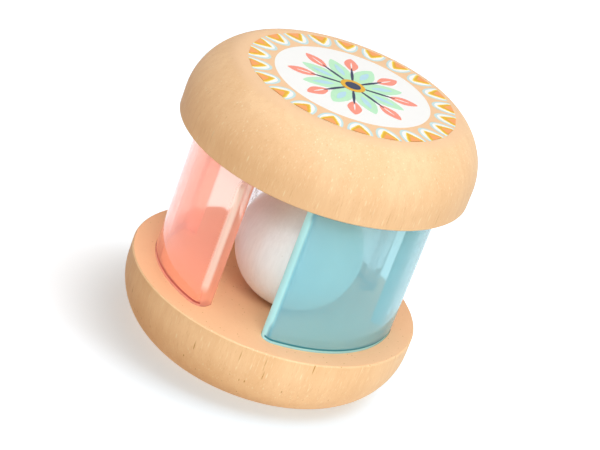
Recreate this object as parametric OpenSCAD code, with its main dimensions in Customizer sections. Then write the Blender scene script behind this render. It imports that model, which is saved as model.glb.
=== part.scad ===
// Rolling cage rattle: two turned wooden caps, three clear moulded panels and one loose ball.
// Millimetres, +Z up. The origin is the centre of the lower cap's flat resting face.

/* [Caps] */
// Diameter of each turned cap
cap_d = 85; // [74:1:104]
// Height of each cap, from its flat inner face to its flat outer face
cap_h = 21; // [18:0.5:26]
// Height of the straight side above the inner face
cap_side_h = 5; // [3:0.5:7]
// Width of the rounded shoulder, from the straight side to the flat outer face
shoulder_w = 11.5; // [9:0.5:13]
// Radius that blends the shoulder into the flat outer face
crown_r = 6; // [4:0.5:8]
// Chamfer that breaks the sharp edge of the inner face
edge_break = 0.4; // [0.2:0.1:1]

/* [Panels] */
// Width of bare wood between a panel's outer face and the side of the cap
ledge_w = 6.7; // [5:0.1:9]
// Wall of the moulded panels
panel_wall = 2.4; // [1.8:0.1:3]
// Depth of the turned-in ends, from the panel's outer face to their tips
return_depth = 6.3; // [5:0.1:8]
// Inside radius where a panel turns in at its ends
inside_corner = 0.8; // [0.4:0.1:1.6]
// Angle left open between two panels
window_angle = 31; // [24:1:40]
// Depth of the grooves in the caps that the panels are glued into
groove_depth = 3; // [2:0.5:5]

/* [Ball] */
// Diameter of the loose ball
ball_d = 36.3; // [33:0.1:40]
// Free height over the ball
ball_play = 7.7; // [4:0.1:10]
// Bearing of the ball at rest, round from the middle of the front window
ball_bearing = 29; // [-60:1:60]

/* [Clearances] */
// Glue gap between a panel and each side of its groove
glue_gap = 0.1; // [0.05:0.01:0.2]
// Running gap under and around the ball
ball_gap = 0.3; // [0.2:0.05:0.6]

/* [Hidden] */
$fn = 96;

// How far a cut runs past the face that it opens
overrun = 1;
// How far a chord of a panel's outline may stand off its arc
chord_error = 0.01;
// Share of the free way to the panels' tips that the ball has moved off the axis
ball_offset_share = 0.9;

// Cage
cap_r = cap_d / 2;
gap_h = ball_d + ball_play;
panel_count = 3;
panel_pitch = 360 / panel_count;
panel_r = cap_r - ledge_w;
panel_corner = panel_wall + inside_corner;
corner_r = panel_r - panel_corner;
tip_r = panel_r - return_depth;
tip_round = panel_wall / 2;
half_span = (panel_pitch - window_angle) / 2;
corner_angle = half_span - asin(panel_corner / corner_r);
panel_h = gap_h + 2 * groove_depth;
panel_z = cap_h - groove_depth;

// The front window faces -Y, so the first panel stands at the rear
rear_bearing = 90;
front_bearing = -90;

// Ball
ball_r = ball_d / 2;
ball_offset = ball_offset_share * (tip_r - ball_gap - ball_r);
ball_angle = front_bearing + ball_bearing;
ball_z = cap_h + ball_gap + ball_r;

// Shoulder of the caps: one large arc, tangent to the side and to the crown's smaller arc
flat_r = cap_r - shoulder_w;
crown_z = cap_h - crown_r;
crown_rise = crown_z - cap_side_h;
shoulder_r = (shoulder_w ^ 2 + crown_rise ^ 2 - crown_r ^ 2) / (2 * (shoulder_w - crown_r));
shoulder_x = cap_r - shoulder_r;
shoulder_end = atan2(crown_rise, flat_r - shoulder_x);

function polar(r, angle) = r * [cos(angle), sin(angle)];
function panel_bearing(i) = rear_bearing + i * panel_pitch;

// A wedge that opens from the origin between two bearings under 180 degrees apart
module wedge(from, to, reach) {
    middle = (from + to) / 2;
    far = reach / cos((to - from) / 2);
    polygon([[0, 0], polar(far, from), polar(far, middle), polar(far, to)]);
}

// Half section of a cap, with its inner face on the X axis and its outer face above
module cap_section() {
    polygon([
        [0, 0],
        [cap_r - edge_break, 0],
        [cap_r, edge_break],
        [cap_r, cap_side_h],
        [0, cap_side_h]
    ]);
    square([flat_r, cap_h]);
    translate([flat_r, crown_z])
        circle(r = crown_r);
    intersection() {
        translate([shoulder_x, cap_side_h])
            intersection() {
                circle(r = shoulder_r);
                wedge(0, shoulder_end, shoulder_r);
            }
        square([cap_r, cap_h]);
    }
}

// Points on an arc, both ends included
function arc(centre, r, from, to) =
    let (steps = ceil(abs(to - from) / (2 * acos(1 - chord_error / r))))
    [for (i = [0 : steps]) centre + polar(r, from + (to - from) * i / steps)];

// A list without its first and last points
function inside(points) = [for (i = [1 : len(points) - 2]) points[i]];

// The same points on the other side of the X axis, in the other order
function mirrored(points) = [for (i = [len(points) - 1 : -1 : 0]) [points[i].x, -points[i].y]];

// One turned-in end, from the outer face of the wall round its tip to the inner face
function panel_end(grow) =
    let (corner = polar(corner_r, corner_angle))
    let (tip = polar(tip_r + tip_round, half_span) - polar(tip_round, half_span + 90))
    concat(
        arc(corner, panel_corner + grow, corner_angle, half_span + 90),
        arc(tip, tip_round + grow, half_span + 90, half_span + 270),
        arc(corner, inside_corner - grow, half_span + 90, corner_angle)
    );

// Plan of a panel about +X: a curved wall with turned-in, round-tipped ends.
// The groove in a cap is the same plan, grown by the glue gap.
module panel_plan(grow = 0) {
    polygon(concat(
        inside(arc([0, 0], panel_r + grow, -corner_angle, corner_angle)),
        panel_end(grow),
        inside(arc([0, 0], panel_r - panel_wall - grow, corner_angle, -corner_angle)),
        mirrored(panel_end(grow))
    ));
}

// One cap standing on its inner face, with its three glue grooves
module cap() {
    difference() {
        rotate_extrude()
            cap_section();
        for (i = [0 : panel_count - 1])
            rotate(panel_bearing(i))
                translate([0, 0, -overrun])
                    linear_extrude(height = groove_depth + overrun)
                        panel_plan(glue_gap);
    }
}

module panel(i) {
    rotate(panel_bearing(i))
        translate([0, 0, panel_z])
            linear_extrude(height = panel_h)
                panel_plan();
}

module bottom_cap() {
    color("burlywood")
        translate([0, 0, cap_h])
            mirror([0, 0, 1])
                cap();
}

module top_cap() {
    color("burlywood")
        translate([0, 0, cap_h + gap_h])
            cap();
}

module rear_panel() {
    color("mistyrose", 0.5)
        panel(0);
}

module coral_panel() {
    color("lightsalmon", 0.6)
        panel(1);
}

module blue_panel() {
    color("powderblue", 0.6)
        panel(2);
}

module ball() {
    color("antiquewhite")
        rotate(ball_angle)
            translate([ball_offset, 0, ball_z])
                sphere(r = ball_r);
}

bottom_cap();
top_cap();
coral_panel();
blue_panel();
rear_panel();
ball();
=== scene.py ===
# %% [markdown]
# # A rolling cage rattle
# The toy is two turned beech caps, three clear moulded panels that join them, and one loose ball in
# the cage between them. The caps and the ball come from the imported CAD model, because their shapes
# are already right there. The panels and the print on the top cap are modelled here, and every
# surface gets a finish of its own.

# %% Load the frame
import math
import bmesh
import bpy
from mathutils import Matrix, Vector


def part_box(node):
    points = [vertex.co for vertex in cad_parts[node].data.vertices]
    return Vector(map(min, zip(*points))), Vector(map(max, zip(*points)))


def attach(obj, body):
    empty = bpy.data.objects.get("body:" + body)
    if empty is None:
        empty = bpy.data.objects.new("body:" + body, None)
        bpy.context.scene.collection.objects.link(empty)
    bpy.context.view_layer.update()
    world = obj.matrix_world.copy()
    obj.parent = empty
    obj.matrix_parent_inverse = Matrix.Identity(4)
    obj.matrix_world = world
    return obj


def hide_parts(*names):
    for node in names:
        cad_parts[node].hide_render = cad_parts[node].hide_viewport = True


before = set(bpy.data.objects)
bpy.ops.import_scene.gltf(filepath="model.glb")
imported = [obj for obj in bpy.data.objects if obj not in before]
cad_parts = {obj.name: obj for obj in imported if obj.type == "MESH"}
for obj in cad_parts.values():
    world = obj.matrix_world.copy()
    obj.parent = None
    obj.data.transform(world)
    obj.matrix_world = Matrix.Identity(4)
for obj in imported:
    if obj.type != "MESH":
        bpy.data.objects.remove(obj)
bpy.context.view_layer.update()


print("CAD nodes:", sorted(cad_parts))

# %% [markdown]
# ## Millimetres
# Blender works in metres, but a toymaker thinks in millimetres. Sizes are written in millimetres
# and turned into metres by one factor, so they can be compared with the part's source.

# %% The unit
MM = 0.001

# %% [markdown]
# ## Shader maths that reads as maths
# A finish is a graph of nodes. Wiring each sum by hand hides what it means, so a small class wraps
# an output socket: adding or multiplying two of them adds the Math node. Every other node comes
# from one method, which takes the node's type, its settings and what goes into its sockets.


# %% Links and values of a node
def feed(node, sockets):
    """Links wires into a node and sets plain values on its own sockets."""
    for name, value in sockets.items():
        if isinstance(value, Wire):
            node.id_data.links.new(value.socket, node.inputs[name])
        else:
            node.inputs[name].default_value = value


print("nodes can be fed")


# %% A wrapper for shader sockets
class Wire:
    """One output of a shader node."""

    def __init__(self, socket):
        self.socket = socket
        self.tree = socket.id_data

    @staticmethod
    def node(tree, kind, settings=None, sockets=None, out=0):
        made = tree.nodes.new(kind)
        for name, value in (settings or {}).items():
            setattr(made, name, value)
        feed(made, sockets or {})
        return Wire(made.outputs[out])

    def beside(self, output):
        """Another output of the same node."""
        return Wire(self.socket.node.outputs[output])

    def math(self, operation, first, second):
        return Wire.node(self.tree, "ShaderNodeMath", {"operation": operation},
                         {0: first, 1: second})

    def __add__(self, other):
        return self.math("ADD", self, other)

    def __sub__(self, other):
        return self.math("SUBTRACT", self, other)

    def __rsub__(self, other):
        return self.math("SUBTRACT", other, self)

    def __mul__(self, other):
        return self.math("MULTIPLY", self, other)

    def __pow__(self, other):
        return self.math("POWER", self, other)

    def __abs__(self):
        return self.math("ABSOLUTE", self, 0.0)

    __radd__ = __add__
    __rmul__ = __mul__


print("sockets can be added and multiplied")

# %% [markdown]
# ## Colours, places and patterns
# A few small helpers cover all the finishes. Colours are mixed by an amount, because a Math node
# would turn them grey. Patterns read Object coordinates, so they sit still in the piece when it
# moves, and one helper counts them in pattern cells per millimetre.

# %% Helpers for colours and places
# A Mix node has one set of sockets for each kind of data, and these are the colours'
COLOUR_A, COLOUR_B, COLOUR_OUT = 6, 7, 2


def rgba(colour):
    """A colour as the four numbers that a socket takes. A wire stays as it is."""
    return colour if isinstance(colour, Wire) else (*colour, 1.0)


def blend_colours(amount, first, second):
    """The second colour over the first, by an amount from 0 to 1."""
    return Wire.node(amount.tree, "ShaderNodeMix", {"data_type": "RGBA"},
                     {0: amount, COLOUR_A: rgba(first), COLOUR_B: rgba(second)}, out=COLOUR_OUT)


def between(value, low, high):
    """0 below low, 1 above high and a smooth step between them. With low over high it falls."""
    return Wire.node(value.tree, "ShaderNodeMapRange", {"interpolation_type": "SMOOTHSTEP"},
                     {0: value, 1: low, 2: high})


def axes(tree, output="Object"):
    """The X, Y and Z of a coordinate output."""
    place = Wire.node(tree, "ShaderNodeTexCoord", out=output)
    split = Wire.node(tree, "ShaderNodeSeparateXYZ", {}, {0: place})
    return [split.beside(axis) for axis in "XYZ"]


def from_axis(x, y):
    """How far a point is from the toy's upright axis."""
    return (x * x + y * y) ** 0.5


print("colours and places ready")


# %% Helpers for patterns
def grain_space(tree, across, along, shift=(0, 0, 0)):
    """Object coordinates counted in pattern cells per millimetre, with Z along the fibres."""
    place = Wire.node(tree, "ShaderNodeTexCoord", out="Object")
    scale = (across / MM, across / MM, along / MM)
    return Wire.node(tree, "ShaderNodeMapping", {},
                     {"Vector": place, "Location": shift, "Scale": scale})


def noise(space, detail, rough=0.5):
    return Wire.node(space.tree, "ShaderNodeTexNoise", {},
                     {"Vector": space, "Scale": 1.0, "Detail": detail, "Roughness": rough})


def scatter(space):
    """The distance to the nearest of many scattered points, and a random number of that point."""
    near = Wire.node(space.tree, "ShaderNodeTexVoronoi", {"feature": "F1"},
                     {"Vector": space, "Scale": 1.0, "Randomness": 1.0})
    return near, Wire.node(space.tree, "ShaderNodeSeparateColor", {}, {0: near.beside("Color")})


def bumps(height, strength, depth):
    """Small hills and dents for a shader's Normal."""
    return Wire.node(height.tree, "ShaderNodeBump", {},
                     {"Strength": strength, "Distance": depth, "Height": height})


def new_finish(name):
    """A new material, its node tree and its Principled node."""
    material = bpy.data.materials.new(name)
    material.use_nodes = True
    return material, material.node_tree, material.node_tree.nodes["Principled BSDF"]


print("patterns ready")

# %% [markdown]
# ## The grain of beech
# Both caps are turned with the fibres standing along the axis. A side then shows the fibres
# lengthwise, as short light flecks and dark pore dashes, and a flat face shows them end on, as fine
# specks on a pinker ground. A flat pattern wrapped round the cap would need a seam and would be
# wrong on top. One solid pattern, stretched along Z, gives both by itself, because the surface
# cuts it as the lathe cuts the wood.

# %% The patterns in the wood
# Pattern cells in a millimetre, across the fibres and along them
TONE_CELLS = (0.06, 0.03)
BAND_CELLS = (0.5, 0.03)
FLECK_CELLS = (3.2, 0.36)
PORE_CELLS = (0.7, 0.055)
RAY_CELLS = (1.1, 0.17)


def beech_grain(tree, shift):
    """Slow tone, growth bands, fine flecks, dark pore dashes and light ray flecks."""
    tone = noise(grain_space(tree, *TONE_CELLS, shift), 3.0)
    bands = noise(grain_space(tree, *BAND_CELLS, shift), 2.0)
    fleck = noise(grain_space(tree, *FLECK_CELLS, shift), 3.0, 0.6)
    to_pore, pore_chance = scatter(grain_space(tree, *PORE_CELLS, shift))
    pore = between(to_pore, 0.17, 0.06) * between(pore_chance, 0.25, 0.7)
    to_ray, ray_chance = scatter(grain_space(tree, *RAY_CELLS, shift))
    ray = between(to_ray, 0.26, 0.1) * between(ray_chance, 0.3, 0.85)
    return tone, bands, fleck, pore * between(fleck, 0.36, 0.54), ray


print("beech patterns ready")

# %% [markdown]
# ## Places on a cap
# The flat faces are cut across the fibres, so their tone is not the side's, and the grooves are
# painted dark, for glue and for the shade down in them. Each place could have a material of its own,
# but then the mesh would have to be cut up. Instead the finish reads how far a point is from the
# axis and from the cap's inner face.

# %% Faces and grooves
# Each pair is where a place fades out and where it is full
INNER_SKIN = (0.12 * MM, 0.05 * MM)
OUTER_SKIN = (19.2 * MM, 20.8 * MM)
GROOVE_MOUTH = (0.1 * MM, 0.4 * MM)
GROOVE_FLOOR = (4.0 * MM, 3.6 * MM)
GROOVE_REACH = (38.4 * MM, 38 * MM)


def cap_places(tree, inner_z):
    """1 on the inner face, 1 on the outer face and 1 in the grooves, which are painted dark for glue
    and shade.
    """
    x, y, z = axes(tree)
    off = abs(z - inner_z)
    groove = between(off, *GROOVE_MOUTH) * between(off, *GROOVE_FLOOR)
    return (between(off, *INNER_SKIN), between(off, *OUTER_SKIN),
            groove * between(from_axis(x, y), *GROOVE_REACH))


print("places on the caps ready")

# %% [markdown]
# ## The beech finish
# The wood is bare and sanded, with hardly any gloss. Its colour is built up as a painter would
# glaze it: a warm ground first, then one thin layer for each pattern and place. The two caps come
# from different boards, so each has its own part of the pattern, and the bottom one has more dark
# pores and a redder inner face, partly the tone of end grain and partly painted coral-tinted light.

# %% Layers of colour on the wood
GROUND, PALE_GROUND = (0.90, 0.60, 0.335), (0.95, 0.66, 0.39)
PORE = (0.52, 0.25, 0.05)
# How much of each layer there is over the ones before it, and its colour
BEECH_LAYERS = {
    "band": (0.3, (0.84, 0.53, 0.28)),
    "light fleck": (0.6, (1.0, 0.80, 0.53)),
    "dark fleck": (0.4, (0.74, 0.45, 0.22)),
    "ray": (0.7, (1.0, 0.84, 0.60)),
    "outer face": (0.75, (0.88, 0.59, 0.355)),
    "inner face": (0.75, (0.92, 0.66, 0.42)),
    "pore": (0.35, PORE),
    # The groove layer is painted shade with some glue: a dark colour down in the grooves
    "groove": (0.6, (0.16, 0.05, 0.03)),
}
GRAIN_DEPTH = 0.02 * MM


def beech(name, shift, inner_z, layers):
    material, tree, shader = new_finish(name)
    tone, bands, fleck, pore, ray = beech_grain(tree, shift)
    inner_face, outer_face, groove = cap_places(tree, inner_z)
    wood = blend_colours(between(tone, 0.35, 0.65), GROUND, PALE_GROUND)
    for layer, mask in (("band", between(bands, 0.4, 0.65)),
                        ("light fleck", between(fleck, 0.58, 0.7)),
                        ("dark fleck", between(fleck, 0.43, 0.3)),
                        ("ray", ray), ("outer face", outer_face), ("inner face", inner_face),
                        ("pore", pore), ("groove", groove)):
        amount, colour = layers[layer]
        wood = blend_colours(mask * amount, wood, colour)
    feed(shader, {"Base Color": wood, "Roughness": 0.44 + fleck * 0.2,
                  "Normal": bumps(fleck * 0.5 - pore, 0.16, GRAIN_DEPTH),
                  "Specular IOR Level": 0.3})
    return material


print("layers:", ", ".join(BEECH_LAYERS))


# %% Dress the caps
def dress(node, material):
    """Gives a CAD node's object its finish."""
    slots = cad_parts[node].data.materials
    slots.clear()
    slots.append(material)


PORES_BELOW = (0.9, PORE)
# The bottom cap's inner face is redder: end-grain tone with painted coral-tinted light in it
INNER_FACE_AND_WARM_LIGHT_BELOW = (0.75, (1.0, 0.58, 0.33))

top_beech = beech("beech_top", (3.1, 1.7, 0.4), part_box("top_cap")[0].z, BEECH_LAYERS)
bottom_beech = beech("beech_bottom", (8.3, 5.9, 2.6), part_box("bottom_cap")[1].z,
                     {**BEECH_LAYERS, "pore": PORES_BELOW, "inner face": INNER_FACE_AND_WARM_LIGHT_BELOW})
dress("top_cap", top_beech)
dress("bottom_cap", bottom_beech)
print("caps dressed in", top_beech.name, "and", bottom_beech.name)

# %% [markdown]
# ## The loose ball
# The ball is wood under one thin coat of off-white paint. The grain still shows faintly, some pores
# stay open as small dark specks, and the paint has a silky gloss that catches the lamps. A plain
# white would look like plastic, so the wood's own patterns are kept, but very weak.

# %% The ball's paint
PAINT_CELLS = (1.3, 0.16)
CLOUD_CELLS = (0.12, 0.08)
SPECK_CELLS = (0.55, 0.4)
PAINT = {
    "thin": (0.76, 0.71, 0.68),
    "full": (0.81, 0.765, 0.735),
    "cloud": (0.84, 0.805, 0.775),
    "speck": (0.50, 0.40, 0.34),
}


def thin_paint(name):
    material, tree, shader = new_finish(name)
    grain = noise(grain_space(tree, *PAINT_CELLS, (2.0, 7.0, 1.0)), 4.0, 0.55)
    cloud = noise(grain_space(tree, *CLOUD_CELLS), 2.0)
    to_pore, chance = scatter(grain_space(tree, *SPECK_CELLS))
    speck = between(to_pore, 0.12, 0.04) * between(chance, 0.5, 0.95)
    paint = blend_colours(between(grain, 0.3, 0.7), PAINT["thin"], PAINT["full"])
    paint = blend_colours(between(cloud, 0.4, 0.7) * 0.4, paint, PAINT["cloud"])
    paint = blend_colours(speck * 0.35, paint, PAINT["speck"])
    feed(shader, {"Base Color": paint, "Roughness": 0.28 + grain * 0.1,
                  "Normal": bumps(grain - speck, 0.1, GRAIN_DEPTH)})
    return material


dress("ball", thin_paint("ball_paint"))
print("ball painted")

# %% [markdown]
# ## Selecting by place
# Edit-mode operators act on what is selected. With no window to click in, the selection is made in
# code, by a test on each corner or edge. Two more helpers open a new piece from a primitive and
# close it again, so that every piece ends merged, facing outwards and at the origin.

# %% Helpers for modelling
MERGE_BELOW = 0.0005 * MM
SMOOTH_BELOW = math.radians(35)


def start(operator, name, **settings):
    """Adds one primitive with nothing else selected, applies its place and opens it to edit."""
    bpy.ops.object.select_all(action="DESELECT")
    operator(**settings)
    bpy.ops.object.transform_apply(location=True, rotation=True, scale=True)
    piece = bpy.context.object
    piece.name = piece.data.name = name
    bpy.ops.object.mode_set(mode="EDIT")
    return piece


def pick(piece, kind, test):
    """Selects only the corners or the edges that pass a test."""
    bpy.ops.mesh.select_mode(type=kind)
    bpy.ops.mesh.select_all(action="DESELECT")
    mesh = bmesh.from_edit_mesh(piece.data)
    for element in {"VERT": mesh.verts, "EDGE": mesh.edges}[kind]:
        element.select_set(test(element))
    bmesh.update_edit_mesh(piece.data)


def middle(element):
    return sum((v.co for v in element.verts), Vector()) / len(element.verts)


def close(piece, smooth=True):
    """Merges doubles, turns the faces outwards and leaves edit mode."""
    bpy.ops.mesh.select_all(action="SELECT")
    bpy.ops.mesh.remove_doubles(threshold=MERGE_BELOW)
    bpy.ops.mesh.normals_make_consistent(inside=False)
    bpy.ops.object.mode_set(mode="OBJECT")
    if smooth:
        bpy.ops.object.shade_smooth_by_angle(angle=SMOOTH_BELOW)
    size = [round(d / MM, 2) for d in piece.dimensions]
    print(piece.name, len(piece.data.polygons), "faces, box", size, "mm")


print("modelling helpers ready")

# %% [markdown]
# ## A clear panel
# Each panel is one moulding: a curved wall whose two ends turn in and finish round. It could be cut
# from a tube, but the turned-in ends would be hard to join on. Seen from above it is a ribbon of
# even width, so it is drawn as a ribbon: a small square at one tip, pulled out, spun round the
# corner, spun round the toy's axis, spun round the other corner and pulled back in. The CAD solid
# has flat strips along the curve, and this one has smooth walls.

# %% Sizes of a panel
PANEL_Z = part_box("coral_panel")[0].z
PANEL_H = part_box("coral_panel")[1].z - PANEL_Z
PANEL_R = 35.8 * MM
WALL = 2.4 * MM
TIP_R = 29.5 * MM
INSIDE_CORNER = 0.8 * MM
HALF_SPAN = math.radians(44.5)
CORNER = WALL + INSIDE_CORNER
CORNER_R = PANEL_R - CORNER
CORNER_ANGLE = HALF_SPAN - math.asin(CORNER / CORNER_R)
CORNER_TURN = HALF_SPAN + math.pi / 2 - CORNER_ANGLE
STRAIGHT_END_R = math.sqrt(CORNER_R ** 2 - CORNER ** 2)
print("panels are", round(PANEL_H / MM, 2), "mm tall")

# %% Draw the ribbon
CORNER_STEPS = 14
WALL_STEPS = 56


def polar(r, angle, z=PANEL_Z):
    return Vector((r * math.cos(angle), r * math.sin(angle), z))


tip_middle = polar(TIP_R + WALL / 2, -HALF_SPAN) + polar(WALL / 2, -HALF_SPAN + math.pi / 2, 0)
panel = start(bpy.ops.mesh.primitive_plane_add, "clear_panel", size=WALL, location=tip_middle,
              rotation=(0, 0, -HALF_SPAN))
outwards, inwards = polar(1, -HALF_SPAN, 0), -polar(1, HALF_SPAN, 0)
pick(panel, "EDGE", lambda edge: middle(edge).dot(outwards) > TIP_R + 0.9 * WALL)
bpy.ops.mesh.extrude_region_move(
    TRANSFORM_OT_translate={"value": outwards * (STRAIGHT_END_R - TIP_R - WALL)})
# With no window, spin turns the other way, so the angle is negated
for centre, angle, steps in ((polar(CORNER_R, -CORNER_ANGLE), CORNER_TURN, CORNER_STEPS),
                             (polar(0, 0), 2 * CORNER_ANGLE, WALL_STEPS),
                             (polar(CORNER_R, CORNER_ANGLE), CORNER_TURN, CORNER_STEPS)):
    bpy.ops.mesh.spin(steps=steps, angle=-angle, center=centre, axis=(0, 0, 1))
bpy.ops.mesh.extrude_region_move(
    TRANSFORM_OT_translate={"value": inwards * (STRAIGHT_END_R - TIP_R)})
print("ribbon drawn,", len(bmesh.from_edit_mesh(panel.data).faces), "faces")

# %% [markdown]
# The flat ribbon is then extruded upwards to the panel's height. The real tips are full rounds, so
# a bevel of nearly half the wall rounds the four upright edges at the tips.

# %% Raise the ribbon and round its tips
TIP_ROUND = 0.48 * WALL
TIP_STEPS = 8

bpy.ops.mesh.select_all(action="SELECT")
bpy.ops.mesh.extrude_region_move(TRANSFORM_OT_translate={"value": (0, 0, PANEL_H)})


def at_a_tip(edge):
    upright = abs((edge.verts[0].co - edge.verts[1].co).z) > PANEL_H / 2
    end = middle(edge)
    in_an_end = abs(math.atan2(end.y, end.x)) > CORNER_ANGLE
    return upright and in_an_end and end.xy.length < TIP_R + 0.3 * WALL


pick(panel, "EDGE", at_a_tip)
bpy.ops.mesh.bevel(offset=TIP_ROUND, segments=TIP_STEPS, affect="EDGES")
close(panel)

# %% [markdown]
# ## Marks on the plastic
# The rounded ends of a moulding gather light, and a paler streak painted up each of them stands in
# for that highlight. At the foot, a thin dark line just over the wood is glue with painted shade,
# and a pale strip of edge lies under it. These marks could be thin extra meshes, but they are kept
# in the plastic's finish, which finds them by place: by the distance to the crest of an end, by
# bearing and by height.

# %% Painted highlight streaks and turned ends
MIDDLE_Z = PANEL_Z + PANEL_H / 2
HIGHLIGHT_STREAK_FADE = (1.6 * MM, 0.6 * MM)
HIGHLIGHT_STREAK_ENDS = (18.5 * MM, 15 * MM)
END_FADE = (math.cos(HALF_SPAN - math.radians(3)), math.cos(HALF_SPAN - math.radians(1.2)))


def end_highlight_streaks(tree, bearing):
    """1 along the middle of the two rounded ends of the panel at this bearing, where a highlight is
    painted.
    """
    x, y, z = axes(tree)
    flat = Wire.node(tree, "ShaderNodeCombineXYZ", {}, {"X": x, "Y": y})
    bend = (CORNER_ANGLE + HALF_SPAN + math.pi / 2) / 2
    highlight_streaks = []
    for side in (-1, 1):
        crest = (polar(CORNER_R, bearing + side * CORNER_ANGLE, 0)
                 + polar(CORNER, bearing + side * bend, 0))
        away = Wire.node(tree, "ShaderNodeVectorMath", {"operation": "DISTANCE"},
                         {0: flat, 1: crest}, out="Value")
        highlight_streaks.append(between(away, *HIGHLIGHT_STREAK_FADE))
    return (highlight_streaks[0] + highlight_streaks[1]) * between(abs(z - MIDDLE_Z), *HIGHLIGHT_STREAK_ENDS)


def turned_ends(tree, bearing):
    """1 on the outsides of the panel's turned-in ends."""
    x, y, z = axes(tree)
    along = (x * math.cos(bearing) + y * math.sin(bearing)) * from_axis(x, y) ** -1.0
    return between(along, *END_FADE)


print("streaks run up to", round(HIGHLIGHT_STREAK_ENDS[0] / MM, 1), "mm from the middle")

# %% Lines at the foot
HALF_GAP = (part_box("top_cap")[0].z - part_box("bottom_cap")[1].z) / 2
OUTER_WALL = (PANEL_R - 0.6 * WALL, PANEL_R - 0.4 * WALL)
# The dark line at the foot is glue with painted shade over it
GLUE_AND_SHADE_HEIGHT = 0.95 * MM
GLUE_AND_SHADE_FADE = (0.4 * MM, 0.2 * MM)
STRIP_FADE = (0.75 * MM, 0.6 * MM)


def foot_lines(tree):
    """The line of glue and painted shade just over the wood on a panel's outer wall, and the strip
    of edge under it.
    """
    x, y, z = axes(tree)
    outside = between(from_axis(x, y), *OUTER_WALL)
    over_wood = HALF_GAP - abs(z - MIDDLE_Z)
    return (outside * between(abs(over_wood - GLUE_AND_SHADE_HEIGHT), *GLUE_AND_SHADE_FADE),
            outside * between(over_wood, *STRIP_FADE))


print("glue lines lie", round(GLUE_AND_SHADE_HEIGHT / MM, 2), "mm over the wood")

# %% [markdown]
# ## Clear tinted plastic
# The coral is tinted right through and lets a lot of light pass. The blue is milkier: part of the
# light scatters in it, so what is behind it looks like a pale shadow. Each finish mixes a glass,
# which carries the tint and a very slight frost, with a milky share. A coat gives the hard gloss
# of a moulding. The glass has a low index of refraction, which keeps the thin walls and the round
# ends light.

# %% The clear part
GLASS_IOR = 1.12
DUST_CELLS = (2.5, 2.5)


def clear_part(glass, tint, frost, swirl, bump):
    """Makes the material's own shader the tinted glass, with a little dust in its gloss."""
    dust = noise(grain_space(swirl.tree, *DUST_CELLS), 2.0)
    paler = [min(1.0, 1.04 * c) for c in tint]
    feed(glass, {"Base Color": blend_colours(between(swirl, 0.3, 0.7), tint, paler),
                 "Roughness": frost + between(dust, 0.5, 0.8) * 0.04, "Normal": bump,
                 "Transmission Weight": 1.0, "IOR": GLASS_IOR,
                 "Coat Weight": 1.0, "Coat Roughness": 0.04})
    return Wire(glass.outputs[0])


print("clear part ready")

# %% [markdown]
# The milky share is larger where a mark is: on the painted highlight streaks, the turned ends, the
# line of glue and painted shade, and the strip. Lamps have to shine through the walls, and light
# that is bent by glass takes very long to find a lamp, so shadow rays meet a plain tinted film
# instead.

# %% The panels' finish
MILK_IOR = 1.3
SWIRL_CELLS = (0.06, 0.03)
RIPPLE_CELLS = (0.18, 0.05)
RIPPLE_DEPTH = 0.05 * MM


def clear_plastic(name, bearing, tint, passing, milk, glow, haze, highlight_streak_milk, end_milk_and_highlight, end_haze,
                  glue_and_shade, frost):
    material, tree, shader = new_finish(name)
    swirl = noise(grain_space(tree, *SWIRL_CELLS, (1.0, 4.0, 2.0)), 2.0)
    bump = bumps(noise(grain_space(tree, *RIPPLE_CELLS), 1.0), 0.01, RIPPLE_DEPTH)
    glass = clear_part(shader, tint, frost, swirl, bump)
    # The streaks up the rounded ends are painted highlights, paler and milkier
    highlight_streak, ends = end_highlight_streaks(tree, bearing), turned_ends(tree, bearing)
    line, strip = foot_lines(tree)
    # The turned ends' milk is the plastic's own colour, and on the blue panel a paler cyan that is a
    # painted edge highlight
    cloud = blend_colours(highlight_streak, blend_colours(ends, milk, end_milk_and_highlight), highlight_streak_milk)
    cloud = blend_colours(line, blend_colours(strip, cloud, end_milk_and_highlight), glue_and_shade)
    milky = Wire.node(tree, "ShaderNodeBsdfPrincipled", {},
                      {"Base Color": cloud, "Roughness": 0.6, "Normal": bump,
                       "Transmission Weight": glow, "IOR": MILK_IOR})
    share = haze * 0.9 + swirl * (haze * 0.2)
    share = share + highlight_streak * 0.35 + ends * end_haze + line * 0.6 + strip * 0.3
    clouded = Wire.node(tree, "ShaderNodeMixShader", {}, {0: share, 1: glass, 2: milky})
    film = Wire.node(tree, "ShaderNodeBsdfTransparent", {},
                     {"Color": rgba([c ** 0.5 for c in passing])})
    to_lamp = Wire.node(tree, "ShaderNodeLightPath", out="Is Shadow Ray")
    surface = Wire.node(tree, "ShaderNodeMixShader", {}, {0: to_lamp, 1: clouded, 2: film})
    feed(tree.nodes["Material Output"], {"Surface": surface})
    return material


print("plastic ready to tint")

# %% [markdown]
# ## Three panels
# The three panels come out of one mould, in three colours. The drawn panel is copied, each copy
# gets its own mesh, and the turn is applied, so that every copy keeps its place in its mesh. Each
# one stands in for the CAD panel of the same name.

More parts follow.
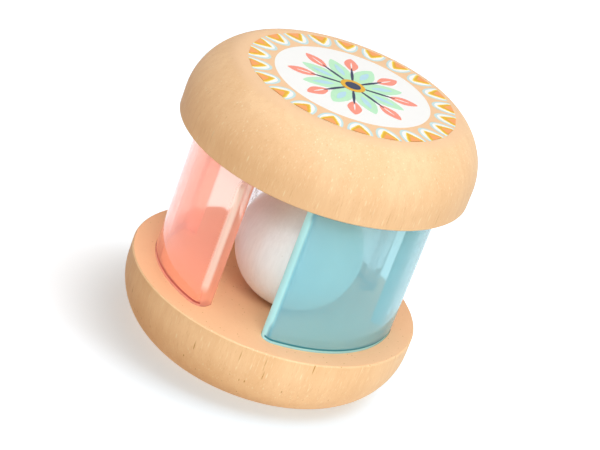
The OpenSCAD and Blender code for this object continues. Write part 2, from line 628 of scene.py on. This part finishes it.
# %% The three colours
# tint and frost make the glass, passing is what lamps send through, milk and haze are the cloudy
# part, glow is how much of it lets light through, and the rest are the marks: painted highlight
# streaks, turned ends (on the blue a painted edge highlight), and glue with painted shade
PANELS = {
    "coral": dict(bearing=math.radians(210), tint=(1.0, 0.82, 0.71), passing=(1.0, 0.90, 0.85),
                  milk=(1.0, 0.34, 0.27), glow=0.1, haze=0.24, highlight_streak_milk=(1.0, 0.80, 0.72),
                  end_milk_and_highlight=(1.0, 0.45, 0.35), end_haze=0.3, glue_and_shade=(0.34, 0.06, 0.05), frost=0.12),
    "blue": dict(bearing=math.radians(330), tint=(0.68, 0.97, 1.0), passing=(0.45, 0.54, 0.57),
                 milk=(0.29, 0.66, 0.79), glow=0.0, haze=0.42, highlight_streak_milk=(0.52, 0.98, 1.0),
                 end_milk_and_highlight=(0.52, 0.98, 1.0), end_haze=0.7, glue_and_shade=(0.04, 0.24, 0.30), frost=0.05),
    "rear": dict(bearing=math.radians(90), tint=(0.90, 0.82, 0.82), passing=(0.85, 0.84, 0.86),
                 milk=(0.90, 0.84, 0.85), glow=0.5, haze=0.15, highlight_streak_milk=(0.94, 0.90, 0.91),
                 end_milk_and_highlight=(0.92, 0.87, 0.88), end_haze=0.1, glue_and_shade=(0.45, 0.40, 0.38), frost=0.12),
}
plastics = {colour: clear_plastic(colour + "_clear", **mix) for colour, mix in PANELS.items()}
print("plastics mixed:", ", ".join(plastics))

# %% Three copies of the panel
for colour, finish in plastics.items():
    bearing = PANELS[colour]["bearing"]
    copy = panel.copy()
    copy.data = panel.data.copy()
    copy.name = copy.data.name = "clear_panel_" + colour
    bpy.context.collection.objects.link(copy)
    bpy.ops.object.select_all(action="DESELECT")
    copy.select_set(True)
    bpy.context.view_layer.objects.active = copy
    copy.rotation_euler.z = bearing
    bpy.ops.object.transform_apply(location=False, rotation=True, scale=False)
    copy.data.materials.append(finish)
    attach(copy, "cage")
    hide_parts(colour + "_panel")
    print(copy.name, "stands at", round(math.degrees(bearing)), "degrees")
bpy.data.objects.remove(panel)

# %% [markdown]
# ## Ink
# The print on the top cap is thin ink: flat colour with a slightly uneven film and a few pinholes
# where the wood shows. It could be a pattern in the wood's material, but flat shapes a few
# hundredths of a millimetre high keep their edges crisp from any distance, and each ink can then
# have a plain material of its own.

# %% The inks
BARE_WOOD = (0.90, 0.72, 0.52)
INK_CLOUD_CELLS = (0.35, 0.35)
PINHOLE_CELLS = (3.4, 3.4)
PINHOLE_DEPTH = 0.01 * MM


def ink(name, colour):
    material, tree, shader = new_finish(name)
    cloud = noise(grain_space(tree, *INK_CLOUD_CELLS), 3.0)
    pinhole = noise(grain_space(tree, *PINHOLE_CELLS), 2.0)
    paler = [c + 0.12 * c * (1 - c) for c in colour]
    film = blend_colours(between(cloud, 0.35, 0.7), colour, paler)
    film = blend_colours(between(pinhole, 0.7, 0.8) * 0.15, film, BARE_WOOD)
    feed(shader, {"Base Color": film, "Roughness": 0.4 + cloud * 0.15,
                  "Normal": bumps(pinhole, 0.15, PINHOLE_DEPTH), "Specular IOR Level": 0.2})
    return material


INKS = {name: ink("ink_" + name, colour) for name, colour in (
    ("white", (0.94, 0.96, 0.96)),
    ("sky", (0.46, 0.74, 0.86)),
    ("pale_blue", (0.56, 0.78, 0.82)),
    ("mint", (0.50, 0.86, 0.58)),
    ("coral", (0.93, 0.30, 0.22)),
    ("orange", (0.93, 0.37, 0.12)),
    ("yellow", (0.93, 0.76, 0.10)),
    ("golden", (0.80, 0.43, 0.02)),
    ("navy", (0.015, 0.028, 0.08)),
)}
print("inks mixed:", ", ".join(INKS))

# %% [markdown]
# ## Laying the ink
# What repeats in the print is modelled once and copied round the axis by spin. Every shape is then
# raised by the same small step for each layer, so that an upper ink always covers a lower one. The
# whole print sits a little off the middle of the cap, as pad printing often does.

# %% Helpers for the print
TOP_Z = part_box("top_cap")[1].z
INK_STEP = 0.03 * MM
PRINT_SHIFT = (0.93 * MM, 0.21 * MM, 0)


def ring_of(count):
    """Copies all of the shape that is open round the toy's axis."""
    bpy.ops.mesh.select_all(action="SELECT")
    step = 2 * math.pi / count
    bpy.ops.mesh.spin(steps=count - 1, angle=step * (count - 1), center=(0, 0, 0), axis=(0, 0, 1),
                      dupli=True)


def lay_ink(piece, layer, material):
    """Gives a flat shape its thickness, on the top face, and its ink."""
    bpy.ops.mesh.select_all(action="SELECT")
    bpy.ops.mesh.normals_make_consistent(inside=False)
    bpy.ops.mesh.extrude_region_move(TRANSFORM_OT_translate={"value": (0, 0, INK_STEP * layer)})
    bpy.ops.mesh.select_all(action="SELECT")
    bpy.ops.transform.translate(value=PRINT_SHIFT)
    close(piece, smooth=False)
    piece.data.materials.append(material)
    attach(piece, "cage")


print("the print lies on the top face, at", round(TOP_Z / MM, 2), "mm")

# %% [markdown]
# ## The white disc
# A white disc lies under the middle of the print. The wood's own material could draw it, by the
# distance to its middle, but as a shape it lies in the same stack as the other inks. It is a filled
# circle with a narrow inset, so that its rim has a ring of faces of its own.

# %% Lay the disc
DISC_R = 22.7 * MM
DISC_RIM = 0.4 * MM
DISC_CORNERS = 160

disc = start(bpy.ops.mesh.primitive_circle_add, "print_disc", vertices=DISC_CORNERS, radius=DISC_R,
             fill_type="NGON", location=(0, 0, TOP_Z))
bpy.ops.mesh.inset(thickness=DISC_RIM)
lay_ink(disc, 1, INKS["white"])

# %% [markdown]
# ## The ring of scallops
# Round the disc runs a ring of scallops, each with a blue rim, a white band and a yellow and orange
# heart. A scallop starts as a circle that is squeezed into a long ellipse, with its middle on the
# outer edge of the ring. Bisecting it there leaves the half that points inwards. The heart is
# pinched to a point by scaling the corners near its tip, a little more at each step.

# %% Shape of a scallop
RING_R = 30.1 * MM
SCALLOPS = 22
SCALLOP_CORNERS = 48
# Past this share of the length, the width is scaled by this much more
POINTED = ((0.15, 0.92), (0.3, 0.9), (0.45, 0.88), (0.6, 0.85), (0.75, 0.79), (0.88, 0.7),
           (0.95, 0.6))


def scallop(name, width, height, layer, material, pointed):
    base = (RING_R, 0, TOP_Z)
    piece = start(bpy.ops.mesh.primitive_circle_add, name, vertices=SCALLOP_CORNERS, radius=1.0,
                  fill_type="NGON", location=base)
    bpy.ops.transform.resize(value=(height, width / 2, 1), center_override=base)
    bpy.ops.mesh.select_all(action="SELECT")
    bpy.ops.mesh.bisect(plane_co=base, plane_no=(1, 0, 0), use_fill=False, clear_outer=True)
    for share, pinch in POINTED if pointed else ():
        pick(piece, "VERT", lambda corner: corner.co.x < RING_R - share * height)
        bpy.ops.transform.resize(value=(1, pinch, 1), center_override=base)
    ring_of(SCALLOPS)
    lay_ink(piece, layer, material)


print("a ring has", SCALLOPS, "scallops")

# %% Lay the scallops
# Widths and heights are in millimetres
for name, width, height, layer, colour, pointed in (
        ("rims", 7.3, 6.3, 1, "pale_blue", False),
        ("bands", 6.1, 5.5, 2, "white", False),
        ("edges", 5.4, 4.8, 3, "yellow", True),
        ("hearts", 4.6, 4.3, 4, "golden", True),
        ("bases", 3.5, 2.7, 5, "orange", True)):
    scallop("print_scallop_" + name, width * MM, height * MM, layer, INKS[colour], pointed)

# %% [markdown]
# ## The flower of leaves
# The middle of the disc carries a plain flower of leaves, in the print's own colours. A leaf is a
# circle that is stretched to its length and pinched at both ends, and the flower is that leaf
# copied round the axis. The buds stand half a step further round than the leaves.

# %% Shape of a leaf
LEAF_CORNERS = 64


def leaf_ring(name, r_from, r_to, width, count, layer, material, turned):
    length = r_to - r_from
    centre = ((r_from + r_to) / 2, 0, TOP_Z)
    piece = start(bpy.ops.mesh.primitive_circle_add, name, vertices=LEAF_CORNERS, radius=1.0,
                  fill_type="NGON", location=centre)
    bpy.ops.transform.resize(value=(length / 2, width / 2, 1), center_override=centre)
    for share, pinch in POINTED:
        pick(piece, "VERT", lambda corner: abs(corner.co.x - centre[0]) > share * length / 2)
        bpy.ops.transform.resize(value=(1, pinch ** 0.5, 1), center_override=centre)
    bpy.ops.mesh.select_all(action="SELECT")
    ring_of(count)
    bpy.ops.object.mode_set(mode="OBJECT")
    piece.rotation_euler.z = turned
    bpy.ops.object.transform_apply(location=False, rotation=True, scale=False)
    bpy.ops.object.mode_set(mode="EDIT")
    lay_ink(piece, layer, material)


print("leaf ready to copy")

# %% Lay the leaves
LEAVES = 8
HALF_STEP = math.pi / LEAVES

# Each kind runs from one distance to another from the axis, in millimetres, as wide as this
for name, r_from, r_to, width, layer, colour, turned in (
        ("leaves", 2.6, 15.8, 5.8, 2, "mint", 0.0),
        ("leaf_marks", 6.0, 12.8, 2.0, 3, "sky", 0.0),
        ("buds", 10.6, 19.0, 4.2, 2, "coral", HALF_STEP),
        ("bud_veins", 11.8, 16.4, 0.45, 3, "white", HALF_STEP),
        ("stems", 1.8, 12.4, 0.9, 4, "navy", HALF_STEP)):
    leaf_ring("print_" + name, r_from * MM, r_to * MM, width * MM, LEAVES, layer, INKS[colour],
              turned)

# %% [markdown]
# ## The flower's eye
# A golden eye with a dark middle covers the ends of the stems. Two discs would do as well, but one
# piece can carry two inks: an inset divides the circle, and the faces in the middle take the
# second one.

# %% Lay the eye
EYE_R = 3.6 * MM
EYE_RIM = 1.3 * MM
NEAR_MIDDLE = 0.5 * MM

eye = start(bpy.ops.mesh.primitive_circle_add, "print_eye", vertices=LEAF_CORNERS, radius=EYE_R,
            fill_type="NGON", location=(0, 0, TOP_Z))
bpy.ops.mesh.inset(thickness=EYE_RIM)
lay_ink(eye, 5, INKS["golden"])
eye.data.materials.append(INKS["navy"])
for face in eye.data.polygons:
    if (face.center.xy - Vector(PRINT_SHIFT).xy).length < NEAR_MIDDLE:
        face.material_index = 1
print("eye inked with", [slot.name for slot in eye.data.materials])

# %% [markdown]
# ## Floor and background
# The toy stands on a pale floor in front of white. More lamps would make the background white, but
# they would bleach the toy too. Instead the floor and the world show themselves brighter to the
# camera, in gloss and through the clear panels than they shine on the toy. The toy is then lit at
# a plain level, and the floor still keeps its shadow.


# %% What the camera sees
def seen_directly(tree):
    """1 for rays from the camera and for what it sees in gloss and through glass, otherwise 0."""
    path = Wire.node(tree, "ShaderNodeLightPath", out="Is Camera Ray")
    seen = path.math("MAXIMUM", path, path.beside("Is Glossy Ray"))
    seen = path.math("MAXIMUM", seen, path.beside("Is Transmission Ray"))
    return seen * (1 - path.math("MINIMUM", path.beside("Diffuse Depth"), 1.0))


WHITE = (1, 1, 1)
print("background told apart from bounce light")

# %% [markdown]
# The floor is paper. To the camera it is a cool white that darkens a little towards the toy, a
# painted shade round the toy's foot beside its real shadow. To the toy it sends a warm glow of its
# own, a painted bounce light, most of all on the left, because the photograph's wood is warmest
# there.

# %% The floor
FLOOR_SIZE = 6.0
PAPER = (0.54, 0.71, 0.88), (0.56, 0.73, 0.90)
PAPER_CELLS = (0.02, 0.02)
PAPER_BOUNCE = (0.85, 0.74, 0.59)
GLOW_LEFT, GLOW_RIGHT = (1, 0.62, 0.30), (1, 0.94, 0.8)
GLOW_FADE = (-60 * MM, 20 * MM)
PAINTED_SHADE_REACH = (37 * MM, 65 * MM)

floor = start(bpy.ops.mesh.primitive_plane_add, "floor", size=FLOOR_SIZE, location=(0, 0, 0))
bpy.ops.object.mode_set(mode="OBJECT")
floor_finish, tree, paper = new_finish("floor_paper")
seen = seen_directly(tree)
pale = blend_colours(noise(grain_space(tree, *PAPER_CELLS), 3.0), *PAPER)
feed(paper, {"Base Color": blend_colours(seen, PAPER_BOUNCE, pale), "Roughness": 0.9,
             "Specular IOR Level": 0.0})
x, y, z = axes(tree)
# Nearer the toy the floor's own brightness falls: a painted shade round the toy's foot
beyond_painted_shade = between(from_axis(x, y), *PAINTED_SHADE_REACH)
# The floor glows onto the toy with a warm light of its own, warmest on the left: a painted bounce
# light
painted_glow = blend_colours(between(x, *GLOW_FADE), GLOW_LEFT, GLOW_RIGHT)
lift = Wire.node(tree, "ShaderNodeEmission", {},
                 {"Color": blend_colours(seen, painted_glow, WHITE),
                  "Strength": seen * (0.5 + beyond_painted_shade * 0.4) + (1 - seen) * 0.33})
both = Wire.node(tree, "ShaderNodeAddShader", {}, {0: Wire(paper.outputs[0]), 1: lift})
feed(tree.nodes["Material Output"], {"Surface": both})
floor.data.materials.append(floor_finish)
print("floor laid,", FLOOR_SIZE, "m wide")

# %% The world
SKY_LEFT, SKY_RIGHT = (1, 0.56, 0.29), (1, 0.97, 0.94)

world = bpy.data.worlds.new("white_studio")
bpy.context.scene.world = world
world.use_nodes = True
tree = world.node_tree
x, y, z = axes(tree, "Generated")
to_right = between(x, -0.7, 0.2)
seen = seen_directly(tree)
sky = blend_colours(to_right, SKY_LEFT, SKY_RIGHT)
feed(tree.nodes["Background"], {"Color": blend_colours(seen, sky, WHITE),
                                "Strength": seen + (1 - seen) * (0.12 + to_right * 0.08)})
print("world ready")

# %% [markdown]
# ## Lamps
# Soft square lamps stand round the toy. One set for everything would be simpler, but the light in
# the photograph differs from piece to piece. Five lamps light the whole toy and leave out the
# floor, and one lights only the floor, so the shadow can fall where the photograph has it. The last
# four brighten single pieces: the coral panel, the ball, the ball with the blue panel, and the
# bottom cap. Light linking does this: a lamp is given a collection, and shines only on what is in
# it, or on all but that.

# %% A soft lamp
TOY_MIDDLE = Vector((0, 0, 43 * MM))


def softbox(name, azimuth, elevation, distance, size, watts, colour=WHITE):
    """A square lamp that looks at the middle of the toy. Azimuth 0 is in front, 90 to the right."""
    a, e = math.radians(azimuth), math.radians(elevation)
    towards = Vector((math.sin(a) * math.cos(e), -math.cos(a) * math.cos(e), math.sin(e)))
    data = bpy.data.lights.new(name, "AREA")
    data.size, data.energy, data.color = size, watts, colour
    lamp = bpy.data.objects.new(name, data)
    bpy.context.collection.objects.link(lamp)
    lamp.location = TOY_MIDDLE + towards * distance
    lamp.rotation_euler = towards.to_track_quat("Z", "Y").to_euler()
    lamp.visible_transmission = False
    return lamp


def lit_group(name, pieces, state="INCLUDE"):
    """A collection for light linking, which lights only these pieces, or all but these."""
    group = bpy.data.collections.new(name)
    for piece in pieces:
        group.objects.link(piece)
    for linked in group.collection_objects:
        linked.light_linking.link_state = state
    return group


print("lamps look at", round(TOY_MIDDLE.z / MM), "mm over the floor")

# %% Lamps for the whole toy and for the floor
# Azimuth and elevation in degrees, distance and width in metres, watts and colour
off_floor = lit_group("lamps_off_floor", [floor], "EXCLUDE")
for lamp in (softbox("key_box", 26, 40, 1.0, 0.4, 3.8),
             softbox("front_box", -5, 40, 1.0, 0.15, 0.7, (0.95, 1, 1.06)),
             softbox("right_box", 75, 18, 1.1, 0.7, 2.9, (1, 0.93, 0.86)),
             softbox("top_box", 0, 78, 1.0, 0.5, 3.9),
             softbox("back_box", 190, 55, 1.1, 0.6, 1.8, (1, 0.96, 0.92))):
    lamp.light_linking.receiver_collection = off_floor
floor_lamp = softbox("floor_box", 105, 64, 1.0, 0.5, 4.8)
floor_lamp.light_linking.receiver_collection = lit_group("lamps_on_floor", [floor])

# %% Lamps for single pieces
coral_panel, blue_panel = (bpy.data.objects["clear_panel_" + name] for name in ("coral", "blue"))
ball, bottom_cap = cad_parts["ball"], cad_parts["bottom_cap"]

for lamp, pieces in (
        (softbox("coral_box", -55, 30, 1.0, 0.5, 9.0), [coral_panel]),
        (softbox("ball_box", 72, 10, 1.0, 0.4, 9.0, (1.12, 1, 0.96)), [ball]),
        (softbox("window_box", -50, 8, 1.0, 0.4, 2.8, (0.7, 1, 1.3)), [ball, blue_panel]),
        (softbox("bottom_box", 38, 48, 1.0, 0.4, 1.3, (1, 1, 0.96)), [bottom_cap])):
    lamp.light_linking.receiver_collection = lit_group(lamp.name + "_lights", pieces)
    lamp.visible_glossy = False
    print(lamp.name, "lights", [piece.name for piece in pieces])

# %% [markdown]
# ## Camera
# The photograph looks down at the toy by about 25 degrees and is turned in the frame, so the toy
# leans. The camera's place, turn and lens were fitted to the rims of the caps. Two directions are
# worked out first, level and upright, and then both are rolled by the lean.

# %% The camera
AZIMUTH, ELEVATION, ROLL = math.radians(12.6), math.radians(25.065), math.radians(20.799)
CAP_R = 42.5 * MM
OFFSET = Vector((-0.00388, -0.05057, 15.82544)) * CAP_R
FOCAL_PIXELS, IMAGE_PIXELS = 2376.3, 600
SENSOR_WIDTH = 36

level = Vector((math.cos(AZIMUTH), math.sin(AZIMUTH), 0))
ahead = Vector((-math.sin(AZIMUTH) * math.cos(ELEVATION), math.cos(AZIMUTH) * math.cos(ELEVATION),
                -math.sin(ELEVATION)))
upright = level.cross(ahead)
right = level * math.cos(ROLL) + upright * math.sin(ROLL)
up = upright * math.cos(ROLL) - level * math.sin(ROLL)
lens = bpy.data.cameras.new("camera")
lens.sensor_width = SENSOR_WIDTH
lens.lens = FOCAL_PIXELS / IMAGE_PIXELS * SENSOR_WIDTH
camera = bpy.data.objects.new("camera", lens)
bpy.context.collection.objects.link(camera)
camera.matrix_world = Matrix((right, up, -ahead)).transposed().to_4x4()
camera.location = TOY_MIDDLE - right * OFFSET.x + up * OFFSET.y - ahead * OFFSET.z
bpy.context.scene.camera = camera
bpy.context.scene.view_settings.view_transform = "Standard"
print("camera at", [round(c, 4) for c in camera.location])
